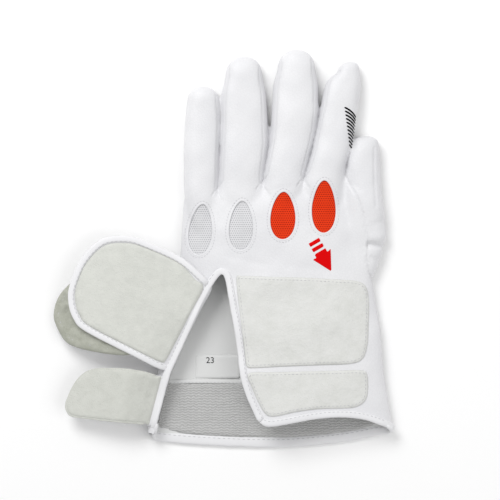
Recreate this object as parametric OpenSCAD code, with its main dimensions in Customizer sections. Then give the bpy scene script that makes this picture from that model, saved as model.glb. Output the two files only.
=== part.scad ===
// Left-hand sports glove with an open slit cuff and hook-and-loop tabs, lying palm down.
// Millimetres. +Y runs to the fingertips, +X to the thumb side, +Z up from the resting face.

/* [Leather] */
// Thickness of the palm leather with its lining
palm_t = 1.5; // [1:0.1:2.5]
// Thickness of the back leather
wall = 1.2; // [0.8:0.1:2]
// Thickness of a loop patch
patch_t = 1.2; // [0.8:0.1:2]
// Thickness of the edge binding above the leather
bind_t = 0.6; // [0.3:0.1:1]
// Thickness of a printed mark
print_t = 0.3; // [0.2:0.1:0.5]

/* [Hand] */
// Height of the hand and cuff over the resting face
hand_h = 16; // [14:0.5:18]
// Height of a finger stall at its root
finger_h = 14.5; // [12:0.5:16]
// Squareness of the arched sections
square_n = 2.6; // [2:0.1:3.5]
// Width of a knuckle window
window_w = 14.8; // [10:0.2:18]
// Length of a knuckle window
window_l = 31; // [22:0.5:36]

/* [Bending lines] */
// Half the gap across a bending line on the palm side
palm_gap = 2.4; // [2.2:0.1:4]
// Half the gap across a bending line on the back
back_gap = 0.3; // [0.2:0.1:1]

/* [Tabs] */
// Height of the open tabs' underside at the slit
tab_z = 16.4; // [15:0.1:20]
// Thickness of a tab's leather
tab_t = 1; // [0.8:0.1:1.5]
// Thickness of the hook facing
hook_t = 1.1; // [0.6:0.1:1.5]
// Thickness of the padded second tab
pad_t = 3; // [2:0.1:4]
// Droop of the upper tab
upper_droop = 4; // [2:0.5:6]
// Droop of the second tab
second_droop = 9; // [8:0.5:11]
// Droop of the lower strap
lower_droop = 9; // [6:0.5:12]
// Width of an edge binding
bind_w = 3.6; // [2.5:0.1:4.5]

/* [Hidden] */
step = 9;
clear = 0.3;
stub_lap = 1;
print_lift = 0.1;
white = [0.92, 0.92, 0.94];
cream = [0.88, 0.88, 0.86];
shade = [0.76, 0.76, 0.72];
red = [0.93, 0.22, 0.08];

// Sections of the hand and cuff: y, left x, right x, height.
hand = [
  [-109, -45.6, 103.6, 18], [-92, -43, 101, 18], [-74, -40, 98, 17.5], [-46, -34, 95.6, 17],
  [-17, -27.6, 90.6, hand_h], [-3, -26, 88, hand_h], [18, -24.8, 84, hand_h]
];
// The knuckle line, where the stalls part from the hand, rises towards the index finger.
web_y = 36;
web_slope = 0.12;
web = [web_y, -23.5, 74.6, finger_h, web_slope];

// Fingers: name, bending lines, sections (y, left x, right x, height), tip, arc of the back strip.
little = [
  "little", [42, 70],
  [[web_y, -23.5, -0.4, finger_h], [45, -23.8, -1.2, 14], [70, -23.4, -2, 13], [88, -22, -2.6, 12.5]],
  [-12.4, 98.5], [38, 180]
];
ring = [
  "ring", [51, 80],
  [[web_y, 0, 24.6, finger_h], [55, -0.2, 26, 14.2], [80, 0.6, 26.4, 13.5], [104, 2.4, 24.8, 12.8]],
  [13, 116.5], [38, 142]
];
middle = [
  "middle", [54, 84],
  [[web_y, 25, 48.4, finger_h], [54, 27.6, 51.2, 14.4], [80, 31, 57.6, 13.6], [108, 33.4, 56.8, 12.8]],
  [45.4, 121], [38, 142]
];
index = [
  "index", [54, 87],
  [[web_y, 48.8, 74.6, finger_h], [54, 53.6, 75, 14.4], [62, 55.4, 76.5, 14], [80, 59.4, 80.5, 13.6],
   [98, 62.2, 84, 12.8], [104, 64, 83.6, 11.6]],
  [78.6, 113.8], [0, 142]
];
thumb = [
  "thumb", [34, 53],
  [[34, 80, 96.5, 14], [45, 77.2, 96, 13.5], [58, 77.6, 95.2, 12.5]],
  [86, 68], [0, 180]
];
fingers = [little, ring, middle, index];
digits = [little, ring, middle, index, thumb];

// Oval windows: centre, turn, finger.
windows = [
  ["little", [-13.2, 12], -6], ["ring", [11.2, 14.4], -3],
  ["middle", [36.4, 20.4], -3], ["index", [61.1, 25.4], -8]
];

// The slit: apex, then the sewn edge on each side down to the hem.
slit_left = [[-5, -18.6], [-37, -73.5], [-46.2, -108]];
slit_right = [[7, -19], [11, -48], [14.3, -75], [23, -98.5], [28, -106]];
slit_tip = [[-2, -13.2], [3, -13.2]];

// Hinge lines of the tabs: start point and turn about Z of the line that runs down the slit's edge.
upper_at = [-6.5, -20.4];
upper_turn = -27;
lower_at = [-38, -75.6];
lower_turn = -15;
second_in = 34;

// A finger's section at one y, by straight interpolation.
function at(sections, y) = [
  y, for (k = [1:3]) lookup(y, [for (s = sections) [s[0], s[k]]])
];

// The sections of a finger from y0 to y1, with both ends.
function between(sections, y0, y1) = concat(
  [at(sections, y0)], [for (s = sections) if (s[0] > y0 + 1 && s[0] < y1 - 1) s], [at(sections, y1)]
);

// The rounded tip: sections that shrink along a quarter circle from the last one to the tip point.
function tip_sections(last, tip, inset) = [
  for (a = [24, 44, 62, 76, 86])
    let (c = pow(cos(a), 0.8), mid = (last[1] + last[2]) / 2, half = (last[2] - last[1]) / 2,
         x = mid + (tip[0] - mid) * (1 - c))
    [
      last[0] + (tip[1] - inset - last[0]) * sin(a),
      x - half * c, x + half * c, palm_t + (last[3] - palm_t) * c
    ]
];

// A point of an arched section: angle 0 at the thumb side, 90 on top, 180 at the little-finger side.
function arch(s, a, out) =
  let (half = max((s[2] - s[1]) / 2 + out, 0.3), high = max(s[3] - palm_t + out, 0.3), n = 2 / square_n,
       x = (s[1] + s[2]) / 2 + half * sign(cos(a)) * pow(abs(cos(a)), n))
  [x, s[0] + (len(s) > 4 ? s[4] * x : 0), palm_t + high * pow(abs(sin(a)), n)];

// A shell through two equal lists of sections, over one arc, between two offsets from the outer face.
module arch_shell(outer, inner, a0, a1, out, in) {
  n = ceil((a1 - a0) / step);
  m = len(outer);
  points = concat(
    [for (s = outer) for (i = [0:n]) arch(s, a0 + (a1 - a0) * i / n, out)],
    [for (s = inner) for (i = [0:n]) arch(s, a0 + (a1 - a0) * i / n, in)]
  );
  k = n + 1;
  o = m * k;
  function quad(a, b, c, d) = [[a, b, c], [a, c, d]];
  faces = concat(
    [for (j = [0:m - 2]) for (i = [0:n - 1])
      each quad(j * k + i, j * k + i + 1, (j + 1) * k + i + 1, (j + 1) * k + i)],
    [for (j = [0:m - 2]) for (i = [0:n - 1])
      each quad(o + j * k + i, o + (j + 1) * k + i, o + (j + 1) * k + i + 1, o + j * k + i + 1)],
    [for (i = [0:n - 1]) each quad(i + 1, i, o + i, o + i + 1)],
    [for (i = [o - k:o - 2]) each quad(i, i + 1, o + i + 1, o + i)],
    [for (j = [0:m - 2]) each quad(j * k, (j + 1) * k, o + (j + 1) * k, o + j * k)],
    [for (j = [0:m - 2]) each quad((j + 1) * k + n, j * k + n, o + j * k + n, o + (j + 1) * k + n)]
  );
  polyhedron(points, faces, convexity = 6);
}

// A layer of the hand and cuff between two offsets, over one arc.
module hand_layer(out, in, a0 = 0, a1 = 180) {
  sections = concat(hand, [web]);
  arch_shell(sections, sections, a0, a1, out, in);
}

// An upright prism over an outline, for cutting a layer to its plan shape.
module prism(outline, z0 = -5, z1 = 40) {
  translate([0, 0, z0])
    linear_extrude(z1 - z0) polygon(outline);
}

// A closed smooth curve through the given points.
function curve(p, n = 5) = [
  for (i = [0:len(p) - 1]) for (k = [0:n - 1])
    let (m = len(p), a = p[(i + m - 1) % m], b = p[i], c = p[(i + 1) % m], d = p[(i + 2) % m], t = k / n)
    0.5 * (2 * b + (c - a) * t + (2 * a - 5 * b + 4 * c - d) * t * t + (3 * b - a - 3 * c + d) * t * t * t)
];

function reversed(p) = [for (i = [len(p) - 1:-1:0]) p[i]];
function moved(p, by) = [for (q = p) q + by];

// One segment of a digit over an arc: 0 is the stub on the hand, which may lap under the hand's edge,
// 1 runs between the bending lines, and 2 from the second line to the tip.
module segment(digit, seg, a0, a1, gap, lap = 0) {
  sections = digit[2];
  bends = digit[1];
  last = sections[len(sections) - 1];
  if (seg == 0) {
    first = at(sections, web_y);
    parts = [[web_y - lap, first[1] + lap / 4, first[2] - lap / 4, finger_h - lap / 3, web_slope],
             at(sections, bends[0] - gap)];
    arch_shell(parts, parts, a0, a1, 0, -wall);
  } else if (seg == 1) {
    parts = between(sections, bends[0] + gap, bends[1] - gap);
    arch_shell(parts, parts, a0, a1, 0, -wall);
  } else {
    stalk = between(sections, bends[1] + gap, last[0]);
    arch_shell(concat(stalk, tip_sections(last, digit[3], 0)),
               concat(stalk, tip_sections(last, digit[3], wall)), a0, a1, 0, -wall);
  }
}

// The flat palm strip of one segment.
module palm_strip(digit, seg) {
  sections = digit[2];
  bends = digit[1];
  last = sections[len(sections) - 1];
  rows = seg == 1
    ? between(sections, bends[0] + palm_gap, bends[1] - palm_gap)
    : concat(between(sections, bends[1] + palm_gap, last[0]), tip_sections(last, digit[3], 0));
  linear_extrude(palm_t)
    polygon(concat([for (s = rows) [s[2], s[0]]], reversed([for (s = rows) [s[1], s[0]]])));
}

// The outline of the palm up to the first bending lines, with the thumb.
function stub_ends(digit) =
  let (y = digit[1][0] - palm_gap, s = at(digit[2], y)) [[s[1], y], [s[2], y]];
palm_right = concat(
  [[103.6, -109.4], [98, -74], [95.6, -46], [90.8, -17], [95.8, -5], [99.3, 10], [97, 24]],
  [[96.5, 33.7], [80.2, 33.7], [74.6, 44]]
);
palm_left = [
  [-23.5, 33], [-24.8, 18], [-26, -3], [-27.6, -17], [-34, -46], [-40, -74], [-44.8, -112.4]
];
palm_hem = [[-20, -118.6], [0, -120], [38.7, -120.5], [77.8, -116.6]];
palm_outline = concat(
  palm_right, [for (i = [3:-1:0]) each reversed(stub_ends(fingers[i]))], palm_left, palm_hem
);

module palm_panel() {
  color(white) difference() {
    linear_extrude(palm_t) polygon(palm_outline);
    hem_strip(-1, 5);
  }
}

// The strip along the palm's hem that the binding wraps.
module hem_strip(z0, z1) {
  inner = [[110, -105.6], [77.2, -113.2], [38.6, -117], [0.2, -116.4], [-19.4, -115], [-50, -107.7]];
  prism(concat(inner, [[-50, -125], [110, -125]]), z0, z1);
}

module palm_binding() {
  color(white) intersection() {
    linear_extrude(palm_t + bind_t) polygon(palm_outline);
    hem_strip(-1, 5);
  }
}

// The slit's plan outline, and the same outline grown by the binding's width.
slit_outer = concat(slit_tip, slit_right, [[28, -125], [-60, -125], [-60, -108]], reversed(slit_left));
slit_inner = [
  [-0.4, -17.6], [3.4, -21], [7.4, -49], [10.8, -76], [19.4, -100], [25, -109.6], [25, -126],
  [-42.6, -126], [-42.6, -108], [-33.6, -73.2], [-2.4, -19.6]
];
// The flap's lower edge, from the slit round to the thumb side.
flap_edge = [[26, -106.6], [38, -104.4], [50, -102.9], [70, -100.8], [87.4, -102.8], [106, -110]];
flap_below = concat(flap_edge, [[106, -130], [-60, -130], [-60, -109], [-44.6, -107]]);

module window_hole(w, grow = 0) {
  translate([w[1][0], w[1][1], 5]) rotate(w[2])
    resize([window_w + grow, window_l + grow, 20]) cylinder(d = window_w, h = 20, $fn = 40);
}

module back_panel() {
  color(white) {
    difference() {
      hand_layer(0, -wall);
      prism(slit_outer);
      prism(moved(flap_below, [0, bind_w]));
      prism([[-60, -120], [-60, -100], [-38, -100], [-38, -120]]);
      for (w = windows) window_hole(w);
      translate([79, -6, 0]) cube([20, 33, 9.5]);
    }
    for (d = fingers) segment(d, 0, d[4][0], d[4][1], back_gap, stub_lap);
  }
}

module mesh_insert(w) {
  color(w[0] == "middle" || w[0] == "index" ? red : white) intersection() {
    hand_layer(-wall, -wall - 0.7, 9, 171);
    window_hole(w, 5);
  }
}

module thumb_base() {
  sections = [
    [-13, 89.6, 91.4, 6], [-5, 88.4, 95.8, 10], [10, 86, 99.3, 13], [22, 84, 97.6, 14], [33.7, 80.1, 96.5, 14]
  ];
  color(white) arch_shell(sections, sections, 0, 160, 0, -wall);
}

module slit_binding() {
  color(white) intersection() {
    hand_layer(bind_t, -wall - bind_t, 20, 178);
    difference() {
      prism(slit_outer);
      prism(slit_inner);
      prism(moved(flap_below, [0, bind_w]));
    }
  }
}

module cuff_binding() {
  color(white) intersection() {
    hand_layer(bind_t, -wall - bind_t, 3, 150);
    difference() {
      prism(moved(flap_below, [0, bind_w]));
      prism(flap_below);
      translate([-100, -140, -5]) cube([122, 80, 50]);
    }
  }
}

module loop_patch(outline) {
  color(cream) intersection() {
    hand_layer(patch_t, 0, 9, 162);
    prism(curve(outline));
  }
}

module upper_loop_patch() {
  loop_patch([
    [9, -19], [14, -16.2], [48, -17.6], [80, -19.2], [86, -23], [87.6, -31], [87.4, -56], [84, -66.6],
    [76, -69.6], [48, -70.4], [18, -71.6], [14.6, -67], [12, -46]
  ]);
}

module lower_loop_patch() {
  loop_patch([
    [16.6, -77], [20, -74.2], [50, -73.6], [82, -73], [86.6, -76], [87.2, -84], [85, -92], [78, -95.4],
    [60, -95.6], [40, -98], [30, -99.4], [25, -97], [20, -86]
  ]);
}

module knit_panel() {
  low = [[98.4, -104], [77, -111], [38.6, -114.6], [0, -114], [-19, -112.8], [-41, -108]];
  color(shade) translate([0, 0, palm_t])
    linear_extrude(1.5) polygon(concat([[-37.5, -81], [95, -81]], low));
}

module size_label() {
  color(white) translate([-17, -78, palm_t]) cube([28, 14, 0.4]);
}

// The arrow: two bars and a barbed head that points down towards the wrist, at a slant.
module arrow_print() {
  color(red) intersection() {
    hand_layer(print_t, 0, 36, 144);
    translate([60.6, -3.6, 0]) rotate(-58) union() {
      for (x = [-11.4, -7.4]) translate([x, -3.8, 0]) cube([2.6, 7.6, 40]);
      prism([[-3.4, -3.8], [1, -3.8], [1, -8], [11, 0], [1, 8], [1, 3.8], [-3.4, 3.8]], 0, 40);
    }
  }
}

// The striped print on the index finger's thumb side.
module index_print() {
  parts = between(index[2], 61, 86);
  color([0.1, 0.1, 0.1]) intersection() {
    arch_shell(parts, parts, 4, 60, print_t + print_lift, print_lift);
    prism([[77.4, 61.6], [81.6, 78], [80.4, 84.6], [73.8, 85.6], [74.6, 74]]);
  }
}

// A fork: the two gusset legs between neighbouring fingers, up to their bending lines.
module fork(left, right) {
  color(white) {
    segment(left, 0, 0, left[4][0] - 2, palm_gap);
    segment(right, 0, right[4][1] + 2, 180, palm_gap);
  }
}

module digit_back(digit, seg) {
  color(white) segment(digit, seg, digit[4][0], digit[4][1], back_gap);
}

module digit_palm(digit, seg) {
  color(white) palm_strip(digit, seg);
}

module digit_gussets(digit, seg) {
  color([0.89, 0.89, 0.91]) {
    if (digit[4][0] > 0) segment(digit, seg, 0, digit[4][0], palm_gap);
    if (digit[4][1] < 180) segment(digit, seg, digit[4][1], 180, palm_gap);
  }
}

// A flat tab layer in its own axes: the hinge line is the Y axis, and the tab reaches to -X and droops.
module tab_layer(at, turn, droop, z, t, outline) {
  translate([at[0], at[1], tab_z]) rotate([0, 0, turn]) rotate([0, droop, 0]) translate([0, 0, z])
    linear_extrude(t) polygon(outline);
}

upper_outline = curve([
  [-0.6, -1], [-6, 1], [-23, 5.2], [-45, 4.4], [-58, 2], [-71, -6.6], [-76.6, -22], [-76, -38.6],
  [-72.4, -48.6], [-64.8, -56.6], [-54.6, -60.2], [-20, -60.2], [-2, -60], [-0.6, -56], [-0.6, -30]
]);
// The same outline drawn in by a binding's width.
function drawn_in(p, c, by) = [for (q = p) c + (q - c) * (1 - by / norm(q - c))];
upper_inner = drawn_in(upper_outline, [-36, -28], bind_w);

module upper_tab_leather() {
  color(white) tab_layer(upper_at, upper_turn, -upper_droop, 0, tab_t, upper_outline);
}

module upper_tab_hook() {
  color(cream) tab_layer(upper_at, upper_turn, -upper_droop, tab_t, hook_t, upper_inner);
}

module upper_tab_binding() {
  color(white) difference() {
    tab_layer(upper_at, upper_turn, -upper_droop, tab_t, bind_t, upper_outline);
    tab_layer(upper_at, upper_turn, -upper_droop, tab_t - 1, bind_t + 2, upper_inner);
  }
}

second_outline = curve([
  [-35, -14], [-42, -10], [-58, -14], [-68, -24], [-77, -38], [-80.4, -50], [-78, -61], [-71.6, -67.4],
  [-63, -72], [-54, -71.6], [-44, -67], [-36, -60], [-34.6, -40]
]);

// The second tab lies under the upper one and droops more, about its own sewn line.
module second_layer(z, t, outline) {
  drop = second_in * (sin(upper_droop) - sin(second_droop)) + clear + pad_t;
  tab_layer(upper_at, upper_turn, -second_droop, z - drop, t, outline);
}

module second_tab_pad() {
  color(shade) second_layer(0.8, pad_t - 0.8, second_outline);
}

module second_tab_lining() {
  color(white) second_layer(0, 0.8, drawn_in(second_outline, [-56, -42], 1));
}

lower_outline = curve([
  [-0.6, -1], [-13, -0.8], [-28, -3.6], [-40, -7.4], [-46.4, -13.4], [-50, -22.6], [-50.8, -32],
  [-48.6, -36.6], [-44.4, -38.2], [-29, -36], [-11, -33], [-0.6, -31.4], [-0.6, -16]
]);
lower_inner = drawn_in(lower_outline, [-26, -19], 2);

module lower_strap_leather() {
  color(white) tab_layer(lower_at, lower_turn, -lower_droop, 0, tab_t, lower_outline);
}

module lower_strap_hook() {
  color(cream) tab_layer(lower_at, lower_turn, -lower_droop, tab_t, hook_t, lower_inner);
}

module lower_strap_binding() {
  color(white) difference() {
    tab_layer(lower_at, lower_turn, -lower_droop, tab_t, bind_t, lower_outline);
    tab_layer(lower_at, lower_turn, -lower_droop, tab_t - 1, bind_t + 2, lower_inner);
  }
}

palm_panel();
back_panel();
thumb_base();
knit_panel();
size_label();
arrow_print();
index_print();
slit_binding();
cuff_binding();
palm_binding();
upper_loop_patch();
lower_loop_patch();
fork(little, ring);  // fork_little_ring
fork(ring, middle);  // fork_ring_middle
fork(middle, index);  // fork_middle_index
upper_tab_leather();
upper_tab_hook();
upper_tab_binding();
second_tab_pad();
second_tab_lining();
lower_strap_leather();
lower_strap_hook();
lower_strap_binding();
for (w = windows) {
  mesh_insert(w);
}
for (d = digits) for (seg = [1, 2]) {
  digit_back(d, seg);
  digit_palm(d, seg);
  digit_gussets(d, seg);
}
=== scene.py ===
# Left-hand sports glove lying palm down with its slit cuff open.
# Shapes are worked out in millimetres and become metres when a mesh is made.
import math

import bmesh
import bpy
import numpy as np
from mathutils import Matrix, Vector
from mathutils.bvhtree import BVHTree


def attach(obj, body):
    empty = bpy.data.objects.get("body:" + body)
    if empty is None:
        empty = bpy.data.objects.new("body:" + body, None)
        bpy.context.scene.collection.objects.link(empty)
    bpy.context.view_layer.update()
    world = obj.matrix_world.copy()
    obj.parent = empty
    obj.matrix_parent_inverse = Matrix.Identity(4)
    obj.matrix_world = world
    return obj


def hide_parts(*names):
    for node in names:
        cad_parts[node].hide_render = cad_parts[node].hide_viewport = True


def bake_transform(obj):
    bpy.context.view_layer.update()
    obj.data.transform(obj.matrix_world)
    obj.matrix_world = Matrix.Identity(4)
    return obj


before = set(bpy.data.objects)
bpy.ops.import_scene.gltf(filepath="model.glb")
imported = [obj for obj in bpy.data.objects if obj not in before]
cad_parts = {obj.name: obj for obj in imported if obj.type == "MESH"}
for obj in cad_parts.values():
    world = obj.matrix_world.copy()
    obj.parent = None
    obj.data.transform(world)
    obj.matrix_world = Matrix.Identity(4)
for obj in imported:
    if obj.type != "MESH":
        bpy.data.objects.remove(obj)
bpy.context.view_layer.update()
mm = 0.001

# what the glove measures, in millimetres
skin = {
    "voxel": 0.95,  # size of one face of the leather
    "smooth": 9,  # rounds of smoothing over the webs
    "thickness": 0.9,
    "seamZ": 3.2,  # height of the seam between palm and back
    "groove": 0.45,  # depth of a sewn seam
    "thumbGroove": 0.15,  # how much deeper the thumb's seam is
    "gussetShare": 0.78,  # where the gusset starts, as a share of a finger's half width
    "gussetPoint": 9,  # length over which a gusset narrows to its point at the crotch
    "roundness": 2.5,  # how square a section is, 2 for an oval
    "wrinkle": 1.0,  # how much of the unevenness is kept
    "creaseWidth": 1.15,  # the furrow where two stalls touch
    "creaseDepth": 2.5,
    "creaseLead": 3,  # how far below a crotch the furrow starts
    "ownShare": 1.25,  # how far out a stall owns the skin, in half widths
}

# Sections: y, left x, right x, height.
handSections = [
    (-128, -48, 106, 18.4), (-109, -45.6, 103.4, 18.2), (-92, -42.6, 100.4, 18), (-74, -39.4, 97.6, 17.6),
    (-46, -33.6, 95.2, 17), (-17, -27.4, 90.2, 16.2), (-3, -25.8, 88, 16), (12, -25, 86.6, 15.6),
    (24, -24.4, 83, 14.2), (30, -23.8, 78.6, 13), (36, -20.4, 74, 10.2), (42, -16, 70, 6.6),
]

fingers = {
    "little": {
        "bends": (42, 70), "tip": (-12.2, 98.6), "gussets": ("right",), "joint": -12.5,
        "sections": [(12, -20, -4, 12.6), (30, -23.2, -3, 14), (45, -23.9, -1.9, 14), (56, -23.9, -1.6, 13.6),
                     (70, -23.5, -1, 13), (80, -22.9, -0.9, 12.8), (89, -21.8, -2, 12.4)],
    },
    "ring": {
        "bends": (51, 80), "tip": (13.6, 116.8), "gussets": ("left", "right"), "joint": 13,
        "sections": [(14, 3, 22, 12.8), (34, -3.2, 24.9, 14.4), (45, -2.9, 25.3, 14.4),
                     (55, -2.6, 26.7, 14.4), (64, -2.2, 27.7, 14.2), (80, -1.6, 27.2, 13.6),
                     (95, -0.7, 26.2, 13), (104, 1.4, 24.4, 12.6)],
    },
    "middle": {
        "bends": (54, 84), "tip": (45.6, 121), "gussets": ("left", "right"), "joint": 41,
        "sections": [(16, 26, 46, 12.8), (38, 23.6, 49.2, 14.4), (46, 24.4, 50.4, 14.4),
                     (55, 26.1, 52.7, 14.4), (63.5, 28, 54.9, 14.2), (72, 29.1, 56.8, 13.9),
                     (84, 29.6, 58.2, 13.4), (100, 30.4, 57.9, 12.8), (109, 33, 56.2, 12.6)],
    },
    "index": {
        "bends": (54, 87), "tip": (79.2, 113.8), "gussets": ("left",), "joint": 66,
        "sections": [(18, 50, 72, 12.8), (40, 48.2, 74, 14.4), (47, 49.6, 74.6, 14.4), (54, 51.9, 75.6, 14.4),
                     (62, 54.2, 77.7, 14), (70, 55.8, 79.4, 13.7), (80, 58, 81.1, 13.4), (89, 60, 82.5, 13),
                     (98, 61.3, 84, 12.4), (103, 63.6, 84, 11.6), (107.5, 69.6, 83.2, 10.4)],
    },
}
thumb = {
    "tip": (87, 68.6), "creaseFrom": 40,
    "web": (74, 46), "lean": (0.45, 0.893),  # where the stall leaves the hand, and the way it points
    "turns": [(0, 8), (8.5, 19)],  # how far along the stall each joint's bending runs
    "sections": [(-26, 74, 86, 4), (-14, 70, 92.2, 9), (-4, 70, 96.4, 11), (10, 71, 99.4, 12.4),
                 (24, 73, 97.8, 13.4), (36, 73.6, 96.3, 13.4), (46, 73.9, 96, 12.8), (54, 75.2, 95.6, 12),
                 (60, 77.4, 95.2, 11.6), (64.6, 79, 94.4, 10.8)],
}
blendHalf = 8  # half the length over which a stall bends

windows = {
    "little": (-13.4, 12, 14.6, 31, 6), "ring": (11.2, 14.4, 14.8, 30, 3),
    "middle": (36.4, 20.4, 15.4, 29, 2), "index": (61.1, 25.8, 14.8, 32, 1),
}  # centre x, centre y, width, length, lean in degrees towards the thumb
windowEgg = 0.17  # how much narrower a window is at its upper end

# The slit's sewn edge from the left hem up round the apex and down to the flap's corner.
slitEdge = [
    (-41.4, -111.6), (-40.4, -108), (-38.2, -100), (-34.6, -86), (-31.2, -74.4), (-26.6, -64),
    (-21.6, -53), (-16.6, -42), (-11.4, -31), (-6.5, -22.1), (-3.5, -17.6), (-1.6, -15.5), (-0.5, -14.8),
    (0.6, -15.6), (1.7, -18), (2.6, -22), (4.6, -34), (7.2, -48), (9.2, -62), (10.9, -76), (14.4, -88),
    (18.8, -98), (21.4, -103), (25.4, -106), (31, -106.2), (42, -104.4), (56, -101.9), (70, -100.9),
    (84, -102.2), (96, -106.4), (102.8, -109.6),
]
slitApex = (-0.4, -16)
flapCorner = (22, -104)
hemEdge = [
    (-45.6, -108), (-44.4, -112.4), (-32, -115.8), (-19.8, -118), (0, -119.4), (20, -120), (39, -120),
    (60, -118.4), (78, -116), (93, -112.6), (103.4, -108.6),
]
thumbSeam = [
    (73.8, 54), (74.4, 45), (77.2, 38.5), (80.8, 32), (84.8, 21), (87, 10), (87.8, 1), (87.4, -8),
    (90.6, -19), (96, -30),
]
print("sizes ready")


# number helpers
def rotated(x, y, angle):
    return x * math.cos(angle) - y * math.sin(angle), x * math.sin(angle) + y * math.cos(angle)


def eased(share):
    return share * share * (3 - 2 * share)


def unit(ways):
    return ways / np.linalg.norm(ways, axis=1)[:, None]


def steps(path, closed=False):
    # the way ahead at each point of a path
    return np.roll(path, -1, 0) - np.roll(path, 1, 0) if closed else np.gradient(path, axis=0)


def edgesOf(tris):
    return np.vstack([tris[:, [0, 1]], tris[:, [1, 2]], tris[:, [2, 0]]])


def compact(tris):
    # the points that some faces use, and the faces numbered in them
    used, faces = np.unique(tris, return_inverse=True)
    return used, faces.reshape(-1, 3)


def shellFaces(tris, count):
    # a sheet, the same sheet turned over as an inner wall, and the rim between them
    have = dict.fromkeys(map(tuple, edgesOf(tris).tolist()))
    rim = [(b, a, a + count, b + count) for a, b in have if (b, a) not in have]
    return tris.tolist() + (tris[:, ::-1] + count).tolist() + rim


def ringFaces(rings, around, closed=False):
    # faces between rings of points, with a cap on each open end
    faces = []
    for r in range(rings if closed else rings - 1):
        low, high = r * around, (r + 1) % rings * around
        for k in range(around):
            m = (k + 1) % around
            faces.append((low + k, low + m, high + m, high + k))
    if not closed:
        faces.append(tuple(range(around))[::-1])
        faces.append(tuple((rings - 1) * around + k for k in range(around)))
    return faces


def smoothPath(points, spacing=1.0, closed=False):
    p = np.array(points, float)
    if closed:
        p = np.vstack([p[-1:], p, p[:2]])
    else:
        p = np.vstack([2 * p[0] - p[1], p, 2 * p[-1] - p[-2]])
    out = []
    for a, b, c, d in zip(p[:-3], p[1:-2], p[2:-1], p[3:]):
        t = np.linspace(0, 1, 12, endpoint=False)[:, None]
        curve = 2 * b + (c - a) * t + (2 * a - 5 * b + 4 * c - d) * t**2 + (3 * b - a - 3 * c + d) * t**3
        out.append(0.5 * curve)
    fine = np.vstack(out + ([out[0][:1]] if closed else [p[-2][None]]))
    length = np.concatenate([[0], np.cumsum(np.linalg.norm(np.diff(fine, axis=0), axis=1))])
    count = max(int(round(length[-1] / spacing)), 3)
    at = np.linspace(0, length[-1], count + 1)
    even = np.stack([np.interp(at, length, fine[:, k]) for k in range(fine.shape[1])], 1)
    return even[:-1] if closed else even


def distanceTo(points, path, closed=False):
    # distance in plan from each point to a path, and the side it lies on (left of the path is positive)
    q = np.asarray(points)[:, :2]
    a = np.asarray(path)[:, :2]
    b = np.roll(a, -1, 0) if closed else a[1:]
    a = a if closed else a[:-1]
    best = np.full(len(q), 1e9)
    side = np.ones(len(q))
    for s, e in zip(a, b):
        d = e - s
        t = np.clip(((q - s) @ d) / (d @ d), 0, 1)
        off = q - s - t[:, None] * d
        r = np.linalg.norm(off, axis=1)
        near = r < best - 1e-9
        best[near] = r[near]
        side[near] = np.sign(d[0] * (q[near, 1] - s[1]) - d[1] * (q[near, 0] - s[0]))
    return best * np.where(side == 0, 1, side)


def insideBy(points, outline):
    # how far each point lies inside a closed outline, negative outside
    q = np.asarray(points)[:, :2]
    a = np.asarray(outline)[:, :2]
    b = np.roll(a, -1, 0)
    inside = np.zeros(len(q), bool)
    best = np.full(len(q), 1e9)
    for s, e in zip(a, b):
        d = e - s
        t = np.clip(((q - s) @ d) / max(d @ d, 1e-12), 0, 1)
        best = np.minimum(best, np.linalg.norm(q - s - t[:, None] * d, axis=1))
        cross = (s[1] > q[:, 1]) != (e[1] > q[:, 1])
        at = s[0] + (q[:, 1] - s[1]) / (d[1] if abs(d[1]) > 1e-12 else 1e-12) * d[0]
        inside ^= cross & (q[:, 0] < at)
    return np.where(inside, best, -best)


def waves(points, size, seed, count=14):
    # soft seeded ripples of about the given wavelength, between -1 and 1
    rng = np.random.default_rng(seed)
    total = np.zeros(len(points))
    for _ in range(count):
        way = rng.normal(size=3)
        way *= 2 * math.pi / (size * rng.uniform(0.7, 1.6)) / np.linalg.norm(way)
        total += np.sin(points @ way + rng.uniform(0, 6.28))
    return total / math.sqrt(count)


def sectionAt(sections, y):
    table = np.array(sections, float)
    return [np.interp(y, table[:, 0], table[:, k]) for k in (1, 2, 3)]


def snapToZero(points, tris, field, allowed=None):
    # moves the nearer end of every edge that crosses the field's zero onto the crossing
    edges = np.unique(np.sort(edgesOf(tris), axis=1), axis=0)
    f0, f1 = field[edges[:, 0]], field[edges[:, 1]]
    cross = f0 * f1 < 0
    if allowed is not None:
        cross &= allowed[edges[:, 0]] & allowed[edges[:, 1]]
    edges, f0, f1 = edges[cross], f0[cross], f1[cross]
    t = f0 / (f0 - f1)
    spot = points[edges[:, 0]] * (1 - t)[:, None] + points[edges[:, 1]] * t[:, None]
    who = np.where(t < 0.5, edges[:, 0], edges[:, 1])
    order = np.argsort(-np.linalg.norm(spot - points[who], axis=1))
    points[who[order]] = spot[order]
    field[who] = 0
    return np.unique(who)


def vertexNormals(points, tris):
    n = np.cross(points[tris[:, 1]] - points[tris[:, 0]], points[tris[:, 2]] - points[tris[:, 0]])
    out = np.zeros_like(points)
    for k in range(3):
        np.add.at(out, tris[:, k], n)
    return out / np.maximum(np.linalg.norm(out, axis=1), 1e-12)[:, None]


# meshes
def shown(name, data):
    obj = bpy.data.objects.new(name, data)
    bpy.context.scene.collection.objects.link(obj)
    return obj


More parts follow.
